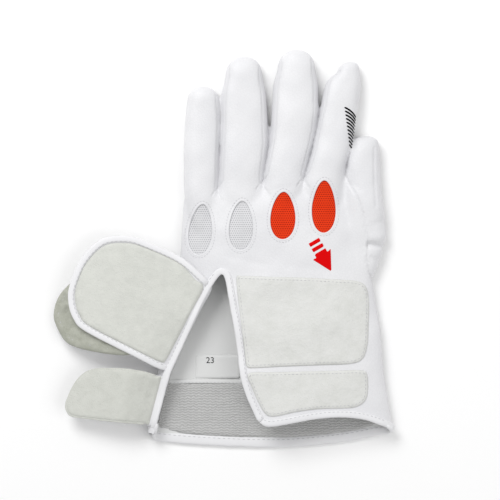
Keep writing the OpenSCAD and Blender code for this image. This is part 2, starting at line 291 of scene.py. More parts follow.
def newPiece(name, points, faces, materials, faceMaterial=None, normals=None):
    mesh = bpy.data.meshes.new(name)
    mesh.from_pydata((np.asarray(points) * mm).tolist(), [], [list(f) for f in faces])
    for m in materials:
        mesh.materials.append(m)
    if faceMaterial is not None:
        mesh.polygons.foreach_set("material_index", faceMaterial)
    mesh.polygons.foreach_set("use_smooth", np.ones(len(mesh.polygons), bool))
    mesh.validate()
    mesh.update()
    if normals is not None:
        mesh.normals_split_custom_set_from_vertices(normals.tolist())
    return shown(name, mesh)


def closedLoft(sections, tip=None, around=56):
    # a closed body through arched sections, rounded off to the tip point
    mid = skin["seamZ"]
    ys = [*np.arange(sections[0][0], sections[-1][0], 1.5), sections[-1][0]]
    rows = [(y, *sectionAt(sections, y), mid) for y in ys]
    if tip:
        y0, left, right, height, low = rows[-1]
        for a in np.radians([12, 24, 36, 47, 57, 66, 74, 81, 87]):
            c = math.cos(a) ** 0.8
            x = (left + right) / 2 + (tip[0] - (left + right) / 2) * (1 - c)
            half = (right - left) / 2 * c
            top = mid + (height - mid) * c ** 0.8
            rows.append((y0 + (tip[1] - y0) * math.sin(a), x - half, x + half, top, mid * (0.35 + 0.65 * c)))
    angle = np.linspace(0, 2 * math.pi, around, endpoint=False)
    cx, sz = np.cos(angle), np.sin(angle)
    power = 2 / skin["roundness"]
    u, v = np.sign(cx) * np.abs(cx) ** power, np.sign(sz) * np.abs(sz) ** power
    points = []
    for y, left, right, height, low in rows:
        x = (left + right) / 2 + (right - left) / 2 * u
        z = mid + np.where(v > 0, (height - mid) * v, low * v)
        points.append(np.stack([x, np.full(around, y), z], 1))
    return np.vstack(points), [f[::-1] for f in ringFaces(len(rows), around)]


def remeshed(volumes):
    points, faces, start = [], [], 0
    for p, f in volumes:
        points.append(p)
        faces += [tuple(i + start for i in face) for face in f]
        start += len(p)
    body = newPiece("shape", np.vstack(points), faces, [])
    remesh = body.modifiers.new("fuse", "REMESH")
    remesh.mode = "VOXEL"
    remesh.voxel_size = skin["voxel"] * mm
    ease = body.modifiers.new("ease", "SMOOTH")
    ease.factor = 0.5
    ease.iterations = skin["smooth"]
    mesh = bpy.data.meshes.new_from_object(body.evaluated_get(bpy.context.evaluated_depsgraph_get()))
    co = np.empty(len(mesh.vertices) * 3)
    mesh.vertices.foreach_get("co", co)
    mesh.calc_loop_triangles()
    tris = np.empty(len(mesh.loop_triangles) * 3, np.int32)
    mesh.loop_triangles.foreach_get("vertices", tris)
    bpy.data.objects.remove(body)
    bpy.data.meshes.remove(mesh)
    return co.reshape(-1, 3) / mm, tris.reshape(-1, 3)


# shader expressions
class Wire:
    def __init__(self, paint, socket):
        self.paint = paint
        self.socket = socket

    def maths(self, operation, *others):
        return self.paint.node("ShaderNodeMath", {"operation": operation}, self, *others)

    def __add__(self, other):
        return self.maths("ADD", other)

    __radd__ = __add__

    def __sub__(self, other):
        return self.maths("SUBTRACT", other)

    def __rsub__(self, other):
        return self.paint.node("ShaderNodeMath", {"operation": "SUBTRACT"}, other, self)

    def __mul__(self, other):
        return self.maths("MULTIPLY", other)

    __rmul__ = __mul__

    def __truediv__(self, other):
        return self.maths("DIVIDE", other)

    def step(self, low, high):
        # 0 below low, 1 above high, smooth between
        smooth = {"interpolation_type": "SMOOTHSTEP"}
        return self.paint.node("ShaderNodeMapRange", smooth, self, low, high, 0.0, 1.0)


class Paint:
    def __init__(self, name):
        self.material = bpy.data.materials.new(name)
        self.material.use_nodes = True
        self.tree = self.material.node_tree
        self.shader = self.tree.nodes["Principled BSDF"]

    def join(self, value, socket):
        if isinstance(value, Wire):
            self.tree.links.new(value.socket, socket)
        elif hasattr(socket, "default_value"):
            socket.default_value = value

    def node(self, kind, settings=None, *inputs, out=0, **named):
        made = self.tree.nodes.new(kind)
        for key, value in (settings or {}).items():
            setattr(made, key, value)
        openInputs = [s for s in made.inputs if s.enabled]
        for value, socket in zip(inputs, openInputs):
            self.join(value, socket)
        for key, value in named.items():
            socket = next(s for s in openInputs if s.name.replace(" ", "") == key)
            self.join(value, socket)
        outs = [s for s in made.outputs if s.enabled]
        return Wire(self, outs[out] if isinstance(out, int) else next(s for s in outs if s.name == out))

    def place(self):
        return self.node("ShaderNodeTexCoord", {}, out=3)

    def noise(self, scale, detail=2.0, rough=0.5):
        return self.node("ShaderNodeTexNoise", {}, Vector=self.place(), Scale=scale, Detail=detail,
                         Roughness=rough, out="Fac")

    def cells(self, scale, feature="F1"):
        settings = {"feature": feature}
        return self.node("ShaderNodeTexVoronoi", settings, Vector=self.place(), Scale=scale, out="Distance")

    def axes(self, at=None):
        made = self.tree.nodes.new("ShaderNodeSeparateXYZ")
        self.join(at or self.place(), made.inputs[0])
        return [Wire(self, s) for s in made.outputs]

    def mix(self, share, first, second):
        def full(value):
            return value if isinstance(value, Wire) else (*value, 1.0)
        return self.node("ShaderNodeMix", {"data_type": "RGBA"}, share, full(first), full(second))

    def bump(self, height, distance, strength):
        return self.node("ShaderNodeBump", {}, Strength=strength, Distance=distance, Height=height)

    def finish(self, colour=None, rough=None, normal=None, **fixed):
        for value, name in ((colour, "Base Color"), (rough, "Roughness"), (normal, "Normal")):
            if isinstance(value, tuple):
                value = (*value, 1.0)
            if value is not None:
                self.join(value, self.shader.inputs[name])
        for key, value in fixed.items():
            socket = next(s for s in self.shader.inputs if s.name.replace(" ", "") == key)
            self.join(value, socket)
        return self.material


def leatherPaint(name, colour, shadow, grain=1.0, rough=0.46):
    p = Paint(name)
    cloud = p.noise(38.0, 3.0)
    soil = p.noise(9.0, 2.0)
    pores = p.cells(1500.0)
    creases = p.cells(620.0, "DISTANCE_TO_EDGE")
    fine = p.noise(2600.0, 2.0)
    tone = p.mix((cloud * 0.6 + soil * 0.4).step(0.35, 0.68), shadow, colour)
    tone = p.mix((1.0 - creases.step(0.0, 0.12)) * 0.14, tone, tuple(c * 0.8 for c in shadow))
    height = creases.step(0.0, 0.2) * 0.6 + pores * 0.25 + fine * 0.15
    return p.finish(tone, cloud * 0.16 + (rough - 0.08), p.bump(height, 0.00016 * grain, 0.55),
                    SpecularIORLevel=0.42, SheenWeight=0.08, SheenRoughness=0.5)


def wovenPaint(name, colour, shadow, threads, relief=0.00012, turn=0.0, rough=0.75):
    # plain weave: two crossed sets of threads, threads per metre
    p = Paint(name)
    at = p.node("ShaderNodeMapping", {}, Vector=p.place(), Rotation=(0.0, 0.0, turn))
    x, y = p.axes(at)[:2]
    warp = (x * (threads * 2 * math.pi)).maths("SINE")
    weft = (y * (threads * 2 * math.pi)).maths("SINE")
    cloth = (warp * weft) * 0.5 + 0.5
    cloud = p.noise(60.0, 3.0)
    tone = p.mix(cloth * 0.5 + cloud * 0.5, shadow, colour)
    return p.finish(tone, rough, p.bump(cloth + p.noise(1800.0) * 0.4, relief, 0.7), SheenWeight=0.2,
                    SheenRoughness=0.5)


def meshPaint(name, colour, deep, pitch=0.0013, ribPitch=0.0022):
    # open knit seen through the windows: rows of small holes, each row offset by half; the holes are painted
    # in the deep colour, a painted shade for the dark behind them
    p = Paint(name)
    x, y = p.axes()[:2]
    rows = y / pitch
    shift = (rows.maths("FLOOR") * 0.5).maths("FRACT")
    across = (x / pitch + shift).maths("FRACT") - 0.5
    along = rows.maths("FRACT") - 0.5
    hole = (across * across * 1.15 + along * along * 2.2).maths("SQRT")
    thread = hole.step(0.22, 0.38)
    ribs = ((x / ribPitch) * (2 * math.pi)).maths("SINE") * 0.5 + 0.5
    cloud = p.noise(120.0, 3.0)
    # painted shade: the holes between the threads take the darker deep colour
    tone = p.mix(thread * (0.72 + cloud * 0.28), deep, colour)
    height = thread * 0.8 + ribs * 0.1 + p.noise(3000.0) * 0.12
    return p.finish(tone, 0.8, p.bump(height, 0.0003, 0.8), SpecularIORLevel=0.12)


def pilePaint(name, colour, shadow, scale=900.0, relief=0.0005):
    # brushed loops: soft tangled fibre with a few flattened patches
    p = Paint(name)
    clumps = p.noise(160.0, 4.0, 0.65)
    fibre = p.noise(scale * 2.2, 5.0, 0.7)
    loops = p.cells(scale)
    patch = p.noise(28.0, 2.0)
    share = clumps * 0.45 + fibre * 0.3 + patch * 0.25
    tone = p.mix(share.step(0.34, 0.62), shadow, colour)
    height = clumps * 0.9 + fibre * 0.5 + (1.0 - loops) * 0.35
    return p.finish(tone, 0.92, p.bump(height, relief, 0.75), SheenWeight=0.45, SheenRoughness=0.35,
                    SpecularIORLevel=0.2)


def knitPaint(name, colour, shadow, pitch=0.0016, zigzagPitch=0.0034, walePitch=0.00085):
    # ribbed elastic: rows across the wrist that zigzag a little, with fuzz over them
    p = Paint(name)
    x, y = p.axes()[:2]
    zigzag = ((x / zigzagPitch) * (2 * math.pi)).maths("SINE") * 0.16
    drift = p.noise(210.0, 3.0) * 1.5
    rib = ((y / pitch + zigzag + drift) * (2 * math.pi)).maths("SINE") * 0.5 + 0.5
    wale = ((x / walePitch) * (2 * math.pi)).maths("SINE") * 0.5 + 0.5
    fuzz = p.noise(1500.0, 4.0, 0.65)
    patch = p.noise(45.0, 3.0)
    share = rib * 0.26 + wale * 0.12 + fuzz * 0.37 + patch * 0.25
    tone = p.mix(share.step(0.2, 0.78), shadow, colour)
    return p.finish(tone, 0.85, p.bump(rib + wale * 0.4 + fuzz * 0.6, 0.00032, 0.8), SheenWeight=0.25,
                    SheenRoughness=0.4)


def inkPaint(name, colour, edge):
    p = Paint(name)
    wear = p.noise(700.0, 3.0)
    tone = p.mix(wear.step(0.58, 0.8) * 0.12, colour, edge)
    height = p.cells(620.0, "DISTANCE_TO_EDGE").step(0.0, 0.2)
    return p.finish(tone, wear * 0.2 + 0.5, p.bump(height, 0.00008, 0.5), SpecularIORLevel=0.05)


paints = {
    "white_leather": leatherPaint("whiteLeather", (0.785, 0.785, 0.8), (0.748, 0.748, 0.768)),
    "palm_leather": leatherPaint("palmLeather", (0.79, 0.79, 0.8), (0.75, 0.75, 0.765), 0.8, 0.52),
    "gusset_fabric": wovenPaint("gussetFabric", (0.745, 0.745, 0.765), (0.7, 0.7, 0.72), 900.0),
    "lining": wovenPaint("lining", (0.745, 0.75, 0.745), (0.69, 0.695, 0.69), 1100.0, 0.00008),
    # each mesh's second colour is the painted shade in its holes
    "red_mesh": meshPaint("redMesh", (0.85, 0.05, 0.008), (0.3, 0.005, 0.001)),
    "white_mesh": meshPaint("whiteMesh", (0.75, 0.75, 0.765), (0.44, 0.44, 0.46)),
    "edge_tape": wovenPaint("edgeTape", (0.825, 0.825, 0.84), (0.785, 0.785, 0.8), 1400.0, 0.00008, 0.78,
                            0.6),
    "loop_pile": pilePaint("loopPile", (0.735, 0.738, 0.718), (0.675, 0.682, 0.652)),
    # the second tab's pile: its own olive-cream colour darkened by a painted shade for the upper tab's shadow
    # over it
    "loop_shade": pilePaint("loopPilePaintedShade", (0.49, 0.5, 0.44), (0.37, 0.38, 0.32), 700.0, 0.0007),
    "hook_facing": pilePaint("hookFacing", (0.69, 0.7, 0.655), (0.62, 0.63, 0.59), 1300.0, 0.0006),
    "strap_facing": pilePaint("strapFacing", (0.655, 0.665, 0.62), (0.585, 0.595, 0.55), 1300.0, 0.0006),
    "knit_elastic": knitPaint("knitElastic", (0.6, 0.6, 0.595), (0.42, 0.42, 0.415)),
    "printed_label": wovenPaint("blankLabel", (0.755, 0.76, 0.755), (0.7, 0.705, 0.7), 2600.0, 0.00004,
                                0.0, 0.5),
    "red_print": inkPaint("redInk", (0.7, 0.001, 0.002), (0.74, 0.03, 0.03)),
    "black_print": inkPaint("blackInk", (0.006, 0.006, 0.007), (0.03, 0.03, 0.03)),
    # the thread's grey is painted shade, standing for the shadows along each stitch row
    "thread": wovenPaint("sewingThreadPaintedShade", (0.6, 0.6, 0.62), (0.48, 0.48, 0.5), 3000.0, 0.00005, 0.6, 0.5),
}
print("materials ready")


def dress(obj, body=None, nodes=()):
    if body:
        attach(obj, body)
    if nodes:
        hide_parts(*nodes)
    return obj


# the glove's skin, made whole and then cut into its pieces
digits = {**fingers, "thumb": thumb}
volumes = [closedLoft(handSections)]
for name, d in digits.items():
    volumes.append(closedLoft(d["sections"], d["tip"]))
shape, tris = remeshed(volumes)
print("skin fused:", len(shape), "points")

# the webs between the stalls are eased once more
webs = {"spots": [(-3, 34), (23.4, 39), (49.6, 43), (73.6, 42), (76, 36)], "reach": 7, "rounds": 30,
        "pull": 0.6}
away = [np.sum((shape[:, :2] - spot) ** 2, 1) for spot in webs["spots"]]
nearWeb = np.max([np.exp(-a / webs["reach"] ** 2) for a in away], axis=0)
nearWeb *= np.clip((shape[:, 2] - 5) / 3, 0, 1)
loose = nearWeb > 0.03
edges = edgesOf(tris)
edges = edges[loose[edges].any(1)]
for _ in range(webs["rounds"]):
    total, count = np.zeros_like(shape), np.zeros(len(shape))
    np.add.at(total, edges[:, 0], shape[edges[:, 1]])
    np.add.at(count, edges[:, 0], 1)
    move = loose & (count > 0)
    pull = nearWeb[move][:, None] * webs["pull"]
    shape[move] += (total[move] / count[move][:, None] - shape[move]) * pull


def digitFrame(points, sections):
    # share of the half width at which each point lies, negative towards the little-finger side
    table = np.array(sections, float)
    y = points[:, 1]
    left, right = np.interp(y, table[:, 0], table[:, 1]), np.interp(y, table[:, 0], table[:, 2])
    return (points[:, 0] - (left + right) / 2) / ((right - left) / 2)


# soft unevenness, and creases given as from, to, width and depth
normal = vertexNormals(shape, tris)
top = np.clip((shape[:, 2] - 4) / 5, 0, 1)
lift = waves(shape, 26, 3) * 0.34 + waves(shape, 13, 5) * 0.12
creases = [
    ((88.6, 2.8), (99, 1.8), 1.6, 1.9), ((90, 7.2), (99, 8), 3, -0.9), ((89.5, -5), (97, -8), 1.8, 0.5),
    ((91, 15), (97, 17), 2.2, 0.4), ((91.6, 61), (92.4, 26), 0.8, 0.5), ((78, 40), (83, 36), 1.8, 0.4),
    ((2, -4), (24, -9), 2.2, 0.25), ((40, -10), (70, -13), 2.4, 0.22), ((30, 36), (41, 38), 1.6, 0.2),
]
for a, b, wide, deep in creases:
    lift -= deep * np.exp(-(distanceTo(shape, [a, b]) / wide) ** 2)
shape += normal * (lift * (0.25 + 0.75 * top) * skin["wrinkle"])[:, None]
order = list(fingers)
neighbours = list(zip(order[:-1], order[1:])) + [("index", "thumb")]


def betweenStalls(a, b):
    # signed distance from the line where two stalls touch; past the shorter one it swings clear of the longer
    left, right = np.array(digits[a]["sections"], float), np.array(digits[b]["sections"], float)
    y = shape[:, 1]
    field = shape[:, 0] - (np.interp(y, left[:, 0], left[:, 2]) + np.interp(y, right[:, 0], right[:, 1])) / 2
    shorter, sign = (a, 1) if digits[a]["tip"][1] < digits[b]["tip"][1] else (b, -1)
    start, end = digits[shorter]["sections"][-1][0], digits[shorter]["tip"][1] + 0.3
    return field + sign * (0.25 * np.clip(y - start, 0, end - start) + 4 * np.maximum(y - end, 0))


for a, b in neighbours:
    start = digits[b].get("creaseFrom", digits[b]["sections"][1][0] - skin["creaseLead"])
    end = min(digits[a]["tip"][1], digits[b]["tip"][1]) - 9
    furrow = np.exp(-(betweenStalls(a, b) / skin["creaseWidth"]) ** 2) * (shape[:, 2] > 4.5)
    furrow *= np.clip((shape[:, 1] - start) / 7, 0, 1) * np.clip((end - shape[:, 1]) / 8, 0, 1)
    shape[:, 2] -= np.minimum(furrow * skin["creaseDepth"], np.maximum(shape[:, 2] - 4.2, 0))
shape[:, 2] = np.maximum(shape[:, 2], 0.02)

height = shape[:, 2] - skin["seamZ"]
seam = np.zeros(len(shape), bool)
seam[snapToZero(shape, tris, height)] = True
above = height >= 0

between = {}
for a, b in neighbours:
    between[a] = betweenStalls(a, b)
    aboveCrotch = shape[:, 1] > digits[b]["sections"][1][0] - 2
    snapToZero(shape, tris, between[a], aboveCrotch & (np.abs(between[a]) < 4))

acrossDigit, gussetField = {}, {}
for name, d in fingers.items():
    crotch = d["sections"][1][0] - 2
    inReach = (shape[:, 1] > crotch) & (shape[:, 1] < d["tip"][1] - 5) & above
    narrow = skin["ownShare"] + 0.05 - skin["gussetShare"]
    for side in d["gussets"]:
        u = digitFrame(shape, d["sections"])
        toPoint = np.clip((crotch + skin["gussetPoint"] - shape[:, 1]) / skin["gussetPoint"], 0, 1)
        field = u * (-1 if side == "left" else 1) - skin["gussetShare"] - narrow * toPoint
        seam[snapToZero(shape, tris, field, inReach & (np.abs(u) < skin["ownShare"] + 0.05))] = True
        gussetField[name, side] = field
    acrossDigit[name] = digitFrame(shape, d["sections"])

thumbPath = smoothPath(thumbSeam, 2)
thumbSide = distanceTo(shape, thumbPath)
besideThumb = above & (shape[:, 0] > 66) & (shape[:, 1] > -24) & (shape[:, 1] < 46)
deepSeam = np.zeros(len(shape), bool)
deepSeam[snapToZero(shape, tris, thumbSide, besideThumb)] = True
seam |= deepSeam

slitPath = smoothPath(slitEdge, 1)
slitOutline = np.vstack([slitPath, [(112, -114), (112, -140), (-60, -140), (-60, -109)]])
openIn = insideBy(shape, slitOutline)
snapToZero(shape, tris, openIn, above)
hemPath = smoothPath(hemEdge, 1)
pastHem = -distanceTo(shape, np.vstack([[(-70, -107)], hemPath, [(120, -107)]]))
snapToZero(shape, tris, pastHem, ~above | (height <= 0))

windowField = {}
for name, (cx, cy, w, l, lean) in windows.items():
    px, py = rotated(shape[:, 0] - cx, shape[:, 1] - cy, math.radians(lean))
    egg = 1 - windowEgg * py / (l / 2)
    windowField[name] = (np.sqrt((px / (w / 2 * egg)) ** 2 + (py / (l / 2)) ** 2) - 1) * w / 2
    snapToZero(shape, tris, windowField[name], above)

whole = BVHTree.FromPolygons(shape.tolist(), tris.tolist())
normal = vertexNormals(shape, tris)
shape -= normal * (seam * skin["groove"] + deepSeam * skin["thumbGroove"])[:, None]
normal = vertexNormals(shape, tris)
centre = shape[tris].mean(1)
print("seams sewn")


def faceMean(field):
    return field[tris].mean(1)


isTop = faceMean(height) > 0
keep = np.where(isTop, faceMean(openIn) < 0, faceMean(pastHem) < 0)
for field in windowField.values():
    keep &= ~(isTop & (faceMean(field) < 0))
kind = np.where(isTop, "back", "palm").astype(object)
where = np.full(len(tris), "hand", object)
for name, d in fingers.items():
    u = faceMean(acrossDigit[name])
    crotch = d["sections"][1][0] - 2
    own = (np.abs(u) < skin["ownShare"]) & (centre[:, 1] > crotch)
    if name in between:
        own &= faceMean(between[name]) < 0
    if name != "little":
        own &= faceMean(between[order[order.index(name) - 1]]) >= 0
    start = d["bends"][0] - blendHalf
    split = (d["bends"][0] + d["bends"][1]) / 2
    where[own & (centre[:, 1] > start)] = name + "Knuckle"
    where[own & (centre[:, 1] > split)] = name + "Reach"
    gusset = own & isTop & (centre[:, 1] < d["tip"][1] - 5.5)
    sides = [faceMean(gussetField[name, s]) > 0 for s in d["gussets"]]
    kind[gusset & np.any(sides, axis=0)] = "gusset"
thumbU = faceMean(digitFrame(shape, thumb["sections"]))
alongThumb = (centre[:, :2] - thumb["web"]) @ np.array(thumb["lean"])
thumbOwn = (np.abs(thumbU) < skin["ownShare"]) & (alongThumb > 0) & (centre[:, 0] > 71)
thumbOwn &= faceMean(between["index"]) >= 0
where[thumbOwn] = "thumbKnuckle"
where[thumbOwn & (alongThumb > thumb["turns"][1][0])] = "thumbReach"
onThumb = (faceMean(thumbSide) > 0) & (centre[:, 1] > -21) & (where == "hand") & (centre[:, 0] > 73)
kind[onThumb & isTop] = "thumb"


def skinPiece(name, mask, slotName):
    # the chosen faces with an inner wall and a rim, keeping the whole skin's normals
    used, faces = compact(tris[mask])
    outer, n = shape[used], normal[used]
    inner = outer - n * skin["thickness"]
    inner[:, 2] = np.where(outer[:, 2] < 1.4, outer[:, 2] + skin["thickness"], inner[:, 2])
    walls = shellFaces(faces, len(used))
    lined = np.zeros(len(walls), np.int32)
    lined[len(faces):2 * len(faces)] = 1
    return newPiece(name, np.vstack([outer, inner]), walls, [paints[slotName], paints["lining"]], lined,
                    np.vstack([n, -n]))


slots = {"back": "white_leather", "palm": "palm_leather", "gusset": "gusset_fabric", "thumb": "white_leather"}
pieces = {}
for place in ["hand"] + [f + part for f in digits for part in ("Knuckle", "Reach")]:
    for part in ("back", "palm", "gusset", "thumb"):
        mask = keep & (where == place) & (kind == part)
        if not mask.any():
            continue
        if place == "hand" and part == "gusset":
            for left, right in (("little", "ring"), ("ring", "middle"), ("middle", "index")):
                edge = (fingers[left]["sections"][2][2] + fingers[right]["sections"][2][1]) / 2
                near = mask & (np.abs(centre[:, 0] - edge) < 11)
                if near.any():
                    pieces[f"fork_{left}_{right}"] = skinPiece(f"fork_{left}_{right}", near, slots[part])
            continue
        label = f"{place}_{part}"
        pieces[label] = skinPiece(label, mask, slots[part])

nodeNames = {"back": "back", "palm": "palm", "gusset": "gussets", "thumb": "back"}
for label, piece in pieces.items():
    if label.startswith("fork_"):
        dress(piece, "hand", [label])
        continue
    place, part = label.split("_")
    if place == "hand":
        node = {"back": "back_panel", "palm": "palm_panel", "thumb": "thumb_base"}[part]
        dress(piece, "hand", [node])
        continue
    digit, section = (place[:-7], 1) if place.endswith("Knuckle") else (place[:-5], 2)
    bodies = [("hand", digit + "_base"), (digit + "_base", digit + "_end")][section - 1]
    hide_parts(f"{digit}_{nodeNames[part]}_{section}")
    if digit == "thumb":
        web, lean = Vector((*thumb["web"], 0)), Vector((*thumb["lean"], 0))
        start, end = [(web + lean * along) * mm for along in thumb["turns"][section - 1]]
    else:
        middle = digits[digit]["bends"][section - 1]
        start, end = [Vector((digits[digit]["joint"], middle + by, 0)) * mm
                      for by in (-blendHalf, blendHalf)]
    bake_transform(piece)
print("skin cut into", len(pieces), "pieces")


# what lies on the skin
def onSkin(xy):
    # the skin's place and outward direction under each point in plan
    spots, ways = [], []
    for x, y in np.asarray(xy)[:, :2]:
        spot, way = whole.ray_cast(Vector((x, y, 60)), Vector((0, 0, -1)))[:2]
        if spot is None:
            spot, way = whole.find_nearest(Vector((x, y, 8)))[:2]
            spot = Vector((x, y, spot.z))
        spots.append(tuple(spot))
        ways.append(tuple(way))
    return np.array(spots), unit(np.array(ways))


def tabGround(tab, under=None):
    # a tab's own plane, with a little waviness, in the glove's axes; its root comes down to the skin
    turn, droop = math.radians(tab["turn"]), math.radians(tab["droop"])

    def ground(xy):
        x, y = np.asarray(xy)[:, 0], np.asarray(xy)[:, 1]
        flat = np.stack([x, y, np.zeros(len(x))], 1)
        ripple = waves(flat + 50 * tab["seed"], 42, tab["seed"]) * tab["wave"]
        z = tab["lift"] + ripple * np.clip(-x / 40, 0, 1)
        gx, gz = rotated(x, z, droop)
        px, py = rotated(gx, y, turn)
        spots = np.stack([tab["at"][0] + px, tab["at"][1] + py, tab["height"] + gz], 1)
        if under:
            spots[:, 2] = np.minimum(spots[:, 2], under(xy)[0][:, 2] - 3.2)
        else:
            share = eased(np.clip(-x / tab["root"], 0, 1))
            sewn = np.array([tabPlace(tab, tab["sewnAt"], v) / mm for v in y])
            low = onSkin(sewn)[0][:, 2] - 0.9 + np.clip(-x, 0, 5) * 0.26
            spots[:, 2] = low * (1 - share) + spots[:, 2] * share
        up = (-math.sin(droop) * math.cos(turn), -math.sin(droop) * math.sin(turn), math.cos(droop))
        return spots, np.tile(up, (len(x), 1))

    return ground


def tabPlace(tab, x, y=-30):
    # a point of a tab's own axes in the glove's, in metres
    x, y = rotated(x, y, math.radians(tab["turn"]))
    return Vector((tab["at"][0] + x, tab["at"][1] + y, 0)) * mm


def insideFloor(xy):
    spots = np.array([(x, y, 1.25) for x, y in np.asarray(xy)[:, :2]])
    return spots, np.tile((0.0, 0.0, 1.0), (len(spots), 1))


def layer(name, outline, ground, low, high, slotName, cell=1.2, edge=1.0, rough=0.0, seed=1):
    # a sheet with rounded edges over an outline, between two heights over the ground
    outline = smoothPath(outline, cell, closed=True)
    lo, hi = outline.min(0) - cell, outline.max(0) + cell
    nx, ny = int((hi[0] - lo[0]) / cell) + 2, int((hi[1] - lo[1]) / cell) + 2
    gx, gy = np.meshgrid(lo[0] + np.arange(nx) * cell, lo[1] + np.arange(ny) * cell, indexing="ij")
    flat = np.stack([gx.ravel(), gy.ravel(), np.zeros(nx * ny)], 1)
    k = (np.arange(nx - 1)[:, None] * ny + np.arange(ny - 1)[None, :]).ravel()
    cells = np.vstack([np.stack([k, k + ny, k + ny + 1], 1), np.stack([k, k + ny + 1, k + 1], 1)])
    field = insideBy(flat, outline)
    snapToZero(flat, cells, field)
    used, cells = compact(cells[field[cells].mean(1) > 0])
    flat, field = flat[used], np.maximum(field[used], 0)
    spots, ways = ground(flat)
    share = np.clip(field / edge, 0, 1)
    rise = low + (high - low) * (0.35 + 0.65 * np.sqrt(1 - (1 - share) ** 2))
    if rough:
        rise = rise + rough * share * (waves(flat, 3.2, seed) * 0.6 + waves(flat, 7, seed + 1))
    points = np.vstack([spots + ways * rise[:, None], spots + ways * low])
    return newPiece(name, points, shellFaces(cells, len(flat)), [paints[slotName]])


def tape(name, path, ways, width, thick, slotName, closed=False, sides=14, ripple=0.0):
    # a soft strip swept along a path, lying square to the given directions
    path, ways = np.asarray(path, float), np.asarray(ways, float)
    ahead = unit(steps(path, closed))
    across = unit(np.cross(ahead, ways))
    up = np.cross(across, ahead)
    a = np.linspace(0, 2 * math.pi, sides, endpoint=False)
    u = np.sign(np.cos(a)) * np.abs(np.cos(a)) ** 0.55
    v = np.sign(np.sin(a)) * np.abs(np.sin(a)) ** 0.8
    swell = (1 + ripple * waves(path, 5, 9)) * np.broadcast_to(width, len(path)) / 2
    flatten = np.ones(len(path))
    if not closed:
        along = np.concatenate([[0], np.cumsum(np.linalg.norm(np.diff(path, axis=0), axis=1))])
        toEnd = np.clip(np.minimum(along, along[-1] - along) / (thick * 0.9), 0.06, 1)
        flatten = np.sqrt(1 - (1 - toEnd) ** 2)
    swell = swell * (0.4 + 0.6 * flatten)
    points = (path[:, None] + across[:, None] * u[None, :, None] * swell[:, None, None]
              + up[:, None] * v[None, :, None] * (flatten * thick / 2)[:, None, None])
    faces = ringFaces(len(path), sides, closed)
    piece = newPiece(name, points.reshape(-1, 3), faces, [paints[slotName]])
    fixFacing(piece)
    return piece


def fixFacing(piece):
    # turns a closed mesh the right way round by the sign of its volume
    mesh = piece.data
    mesh.calc_loop_triangles()
    co = np.array([v.co for v in mesh.vertices])
    t = np.array([x.vertices[:] for x in mesh.loop_triangles])
    if np.einsum("ij,ij->", co[t[:, 0]], np.cross(co[t[:, 1]], co[t[:, 2]])) < 0:
        mesh.flip_normals()


def offsetPath(path, by, closed=False):
    # the path moved sideways in plan, to its left when by is positive
    p = np.asarray(path, float)
    ahead = steps(p, closed)
    ahead /= np.linalg.norm(ahead[:, :2], axis=1)[:, None]
    out = p.copy()
    out[:, 0] -= ahead[:, 1] * by
    out[:, 1] += ahead[:, 0] * by
    return out


def drawnIn(outline, by):
    p = smoothPath(outline, 2, True)
    x, y = p.T
    turnsLeft = np.dot(x, np.roll(y, -1)) > np.dot(y, np.roll(x, -1))
    return offsetPath(p, by if turnsLeft else -by, True)


# stitches, set along a path by a node tree: spacing, length and width of each kind
stitches = {
    "windowStitches": (1.9, 1.2, 0.28), "patchStitches": (2.4, 1.6, 0.36), "liningStitches": (2.2, 1.5, 0.32),
    "slitStitches": (2.6, 1.7, 0.36), "hemStitches": (3.0, 2.0, 0.38), "upperTabStitches": (2.8, 1.8, 0.38),
    "secondTabStitches": (2.8, 1.8, 0.38),
}


def stitchTree():
    tree = bpy.data.node_groups.new("stitchRow", "GeometryNodeTree")
    face = tree.interface
    face.new_socket("Geometry", in_out="INPUT", socket_type="NodeSocketGeometry")
    face.new_socket("Geometry", in_out="OUTPUT", socket_type="NodeSocketGeometry")
    for key in ("Spacing", "Length", "Width"):
        face.new_socket(key, in_out="INPUT", socket_type="NodeSocketFloat")
    face.new_socket("Thread", in_out="INPUT", socket_type="NodeSocketMaterial")

    def add(kind, feeds, **settings):
        # a node with its settings and what goes into it, giving its first output
        node = tree.nodes.new(kind)
        for key, value in settings.items():
            setattr(node, key, value)
        for key, value in feeds.items():
            if isinstance(value, bpy.types.NodeSocket):
                tree.links.new(value, node.inputs[key])
            else:
                node.inputs[key].default_value = value
        return node.outputs[0] if node.outputs else node

    source = tree.nodes.new("NodeGroupInput").outputs
    curve = add("GeometryNodeMeshToCurve", {"Mesh": source["Geometry"]})
    even = add("GeometryNodeResampleCurve", {"Curve": curve, "Length": source["Spacing"]}, mode="LENGTH")
    bead = add("GeometryNodeMeshUVSphere", {"Segments": 6, "Rings": 5, "Radius": 0.5})
    size = add("ShaderNodeCombineXYZ", {"X": source["Length"], "Y": source["Width"], "Z": source["Width"]})
    bead = add("GeometryNodeTransform", {"Geometry": bead, "Scale": size})
    up = add("GeometryNodeInputNamedAttribute", {"Name": "up"}, data_type="FLOAT_VECTOR")
    align = "FunctionNodeAlignRotationToVector"
    turn = add(align, {"Vector": add("GeometryNodeInputTangent", {})}, axis="X")
    turn = add(align, {"Rotation": turn, "Vector": up}, axis="Z", pivot_axis="X")
    row = add("GeometryNodeInstanceOnPoints", {"Points": even, "Instance": bead, "Rotation": turn})
    row = add("GeometryNodeRealizeInstances", {"Geometry": row})
    row = add("GeometryNodeSetShadeSmooth", {"Geometry": row})
    row = add("GeometryNodeSetMaterial", {"Geometry": row, "Material": source["Thread"]})
    add("NodeGroupOutput", {"Geometry": row})
    return tree


rowTree = stitchTree()


